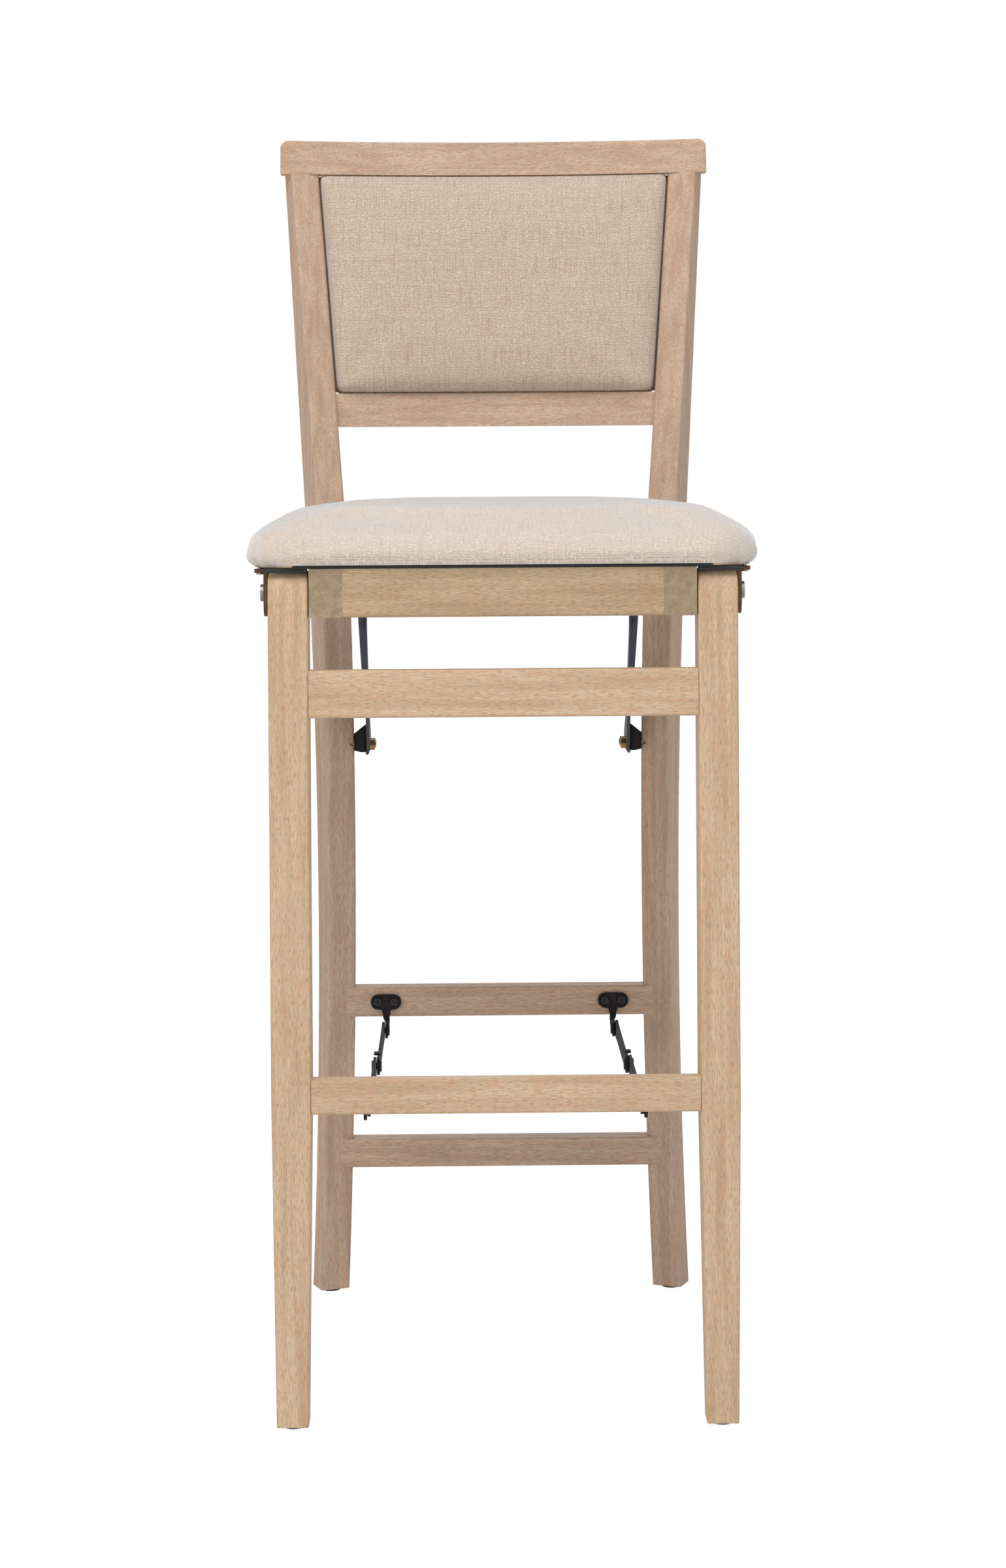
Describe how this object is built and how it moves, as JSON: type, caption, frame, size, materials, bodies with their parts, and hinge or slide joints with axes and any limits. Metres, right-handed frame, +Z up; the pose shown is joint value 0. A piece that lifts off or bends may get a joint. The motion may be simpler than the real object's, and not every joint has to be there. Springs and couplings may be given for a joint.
{
  "type": "folding bar stool",
  "caption": "Folding bar stool with a padded seat and back, bowed top rail, wooden legs, stretchers, footrest and steel locking braces.",
  "frame": {"origin": "on the floor under the middle of the open stool's bounding box", "axes": "+Z up, the front faces -Y, +X to the right when looking at the front"},
  "size_m": [0.4252, 0.5544, 1.11],
  "materials": {
    "front_wood": "grey-washed oak, yellow tan, matt",
    "rear_wood": "grey-washed oak, pinkish grey, matt",
    "plywood": "bare plywood",
    "black_steel": "black paint, satin",
    "black_fixings": "blackened, satin",
    "zinc_steel": "zinc plated",
    "bronze_steel": "brown paint, satin",
    "brass": "yellow passivated",
    "seat_cloth": "slubbed beige linen weave",
    "back_cloth": "slubbed beige linen weave",
    "dust_cloth": "thin black felt",
    "glide": "dark nylon"
  },
  "bodies": {
    "rear_frame": {"rear_post_left": "rear_wood", "rear_post_right": "rear_wood", "top_rail": "rear_wood", "back_rail": "rear_wood", "rear_upper_stretcher": "rear_wood", "rear_lower_stretcher": "rear_wood", "back_board": "plywood", "hinge_arm_left": "black_steel", "hinge_arm_right": "black_steel", "arm_bracket_left": "black_steel", "arm_bracket_right": "black_steel", "brace_plate_left": "black_steel", "brace_plate_right": "black_steel", "brace_plate_screws": "black_fixings", "brace_rear_rivets": "black_fixings", "arm_bolts": "zinc_steel", "arm_bracket_screws": "zinc_steel", "seat_pivot_bolts": "zinc_steel", "arm_locknuts": "brass", "back_cushion": "back_cloth", "back_panel": "back_cloth", "rear_glides": "glide"},
    "seat": {"seat_board": "plywood", "seat_cushion": "seat_cloth", "dust_cover": "dust_cloth", "apron": "front_wood", "seat_rail_left": "front_wood", "seat_rail_right": "front_wood", "leg_hinge_plate_left": "bronze_steel", "leg_hinge_plate_right": "bronze_steel", "leg_pivot_bolts": "zinc_steel", "seat_screws": "zinc_steel"},
    "front_frame": {"front_leg_left": "front_wood", "front_leg_right": "front_wood", "front_stretcher": "front_wood", "footrest": "front_wood", "leg_sleeves": "zinc_steel", "front_glides": "glide", "brace_bracket_left": "black_steel", "brace_bracket_right": "black_steel", "brace_bracket_screws": "black_fixings"},
    "rear_brace_left": {"rear_brace_arm_left": "black_steel", "elbow_rivet_left": "black_fixings"},
    "front_brace_left": {"front_brace_arm_left": "black_steel", "brace_end_rivet_left": "black_fixings"},
    "rear_brace_right": {"rear_brace_arm_right": "black_steel", "elbow_rivet_right": "black_fixings"},
    "front_brace_right": {"front_brace_arm_right": "black_steel", "brace_end_rivet_right": "black_fixings"}
  },
  "joints": [
    {"name": "seat_fold", "type": "hinge", "parent": "rear_frame", "child": "seat", "pos_m": [0, 0.08286, 0.6949], "axis": [-1, 0, 0], "range_deg": [0, 90]},
    {"name": "front_legs_swing", "type": "hinge", "parent": "seat", "child": "front_frame", "pos_m": [0, -0.25064, 0.6851], "axis": [-1, 0, 0], "range_deg": [-90, 0]},
    {"name": "rear_brace_swing_left", "type": "hinge", "parent": "rear_frame", "child": "rear_brace_left", "pos_m": [-0.11025, 0.13086, 0.258], "axis": [-1, 0, 0], "range_deg": [0, 101.54]},
    {"name": "brace_elbow_left", "type": "hinge", "parent": "rear_brace_left", "child": "front_brace_left", "pos_m": [-0.112, -0.05014, 0.258], "axis": [-1, 0, 0], "range_deg": [-35.31, 0]},
    {"name": "rear_brace_swing_right", "type": "hinge", "parent": "rear_frame", "child": "rear_brace_right", "pos_m": [0.11025, 0.13086, 0.258], "axis": [-1, 0, 0], "range_deg": [0, 101.54]},
    {"name": "brace_elbow_right", "type": "hinge", "parent": "rear_brace_right", "child": "front_brace_right", "pos_m": [0.112, -0.05014, 0.258], "axis": [-1, 0, 0], "range_deg": [-35.31, 0]}
  ],
  "couplings": [
    {"joint": "front_legs_swing", "follows": "seat_fold", "ratio": -1},
    {"joint": "rear_brace_swing_left", "follows": "seat_fold", "ratio": 1.1226},
    {"joint": "brace_elbow_left", "follows": "seat_fold", "ratio": -0.38673},
    {"joint": "rear_brace_swing_right", "follows": "seat_fold", "ratio": 1.1226},
    {"joint": "brace_elbow_right", "follows": "seat_fold", "ratio": -0.38673}
  ]
}
